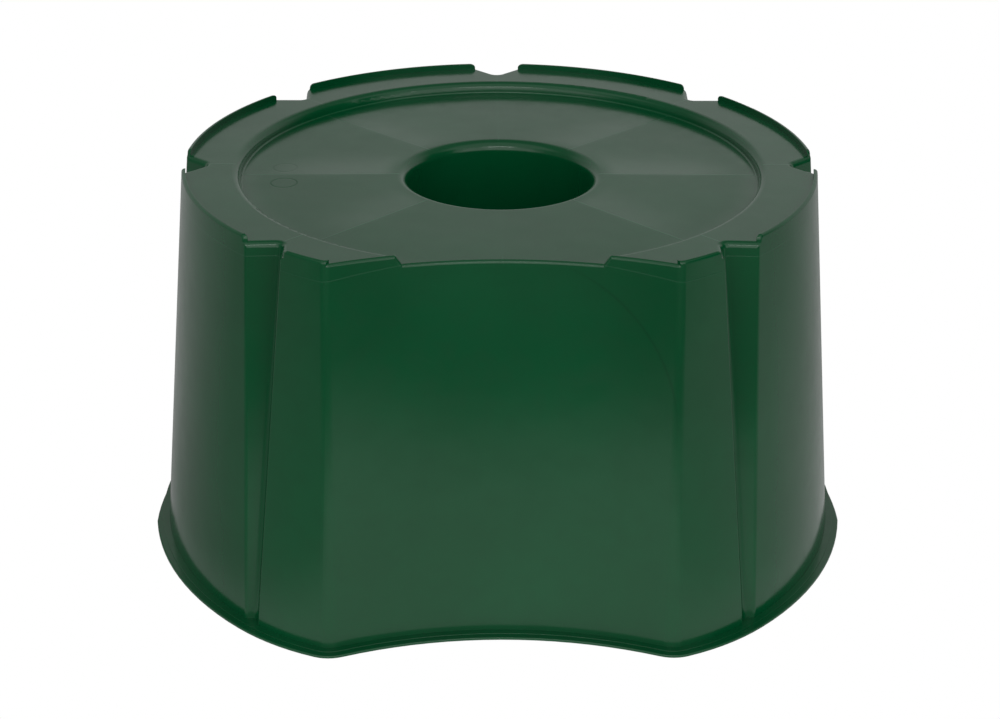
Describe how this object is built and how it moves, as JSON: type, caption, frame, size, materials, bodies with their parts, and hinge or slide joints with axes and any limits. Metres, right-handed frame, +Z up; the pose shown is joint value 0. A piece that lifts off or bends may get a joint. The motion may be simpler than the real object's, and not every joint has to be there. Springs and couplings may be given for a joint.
{
  "type": "rain barrel stand",
  "caption": "Round tapered stand for a rain barrel, with a V-fluted skirt on a foot flange, a scooped front, a sunk seat with a centre hole and a notched rim.",
  "frame": {"origin": "on the ground under the middle of the round seat, on the vertical axis of the centre column", "axes": "+Z up, scoop towards -Y, mirror-symmetric about the plane X = 0, so +X is the right-hand side seen from the scoop"},
  "size_m": [0.6129, 0.5721, 0.3294],
  "materials": {
    "green_plastic": "satin moulded polypropylene, dark green"
  },
  "bodies": {
    "root": {"base_flange": "green_plastic", "centre_column": "green_plastic", "deck_front_left": "green_plastic", "deck_front_right": "green_plastic", "deck_left_aft": "green_plastic", "deck_left_fore": "green_plastic", "deck_rear_left": "green_plastic", "deck_rear_right": "green_plastic", "deck_right_aft": "green_plastic", "deck_right_fore": "green_plastic", "flute_front_left": "green_plastic", "flute_front_right": "green_plastic", "flute_left": "green_plastic", "flute_rear": "green_plastic", "flute_rear_left": "green_plastic", "flute_rear_right": "green_plastic", "flute_right": "green_plastic", "hole_rim": "green_plastic", "recess_floor": "green_plastic", "recess_step": "green_plastic", "rib_front": "green_plastic", "rib_front_left": "green_plastic", "rib_front_right": "green_plastic", "rib_left": "green_plastic", "rib_rear": "green_plastic", "rib_rear_left": "green_plastic", "rib_rear_right": "green_plastic", "rib_right": "green_plastic", "rim_lip_front_left": "green_plastic", "rim_lip_front_right": "green_plastic", "rim_lip_left_aft": "green_plastic", "rim_lip_left_fore": "green_plastic", "rim_lip_rear_left": "green_plastic", "rim_lip_rear_right": "green_plastic", "rim_lip_right_aft": "green_plastic", "rim_lip_right_fore": "green_plastic", "scoop_kerb": "green_plastic", "scoop_lip_left": "green_plastic", "scoop_lip_right": "green_plastic", "scoop_wall": "green_plastic", "skirt_panel_front_left": "green_plastic", "skirt_panel_front_right": "green_plastic", "skirt_panel_left_aft": "green_plastic", "skirt_panel_left_fore": "green_plastic", "skirt_panel_rear_left": "green_plastic", "skirt_panel_rear_right": "green_plastic", "skirt_panel_right_aft": "green_plastic", "skirt_panel_right_fore": "green_plastic"}
  },
  "joints": []
}
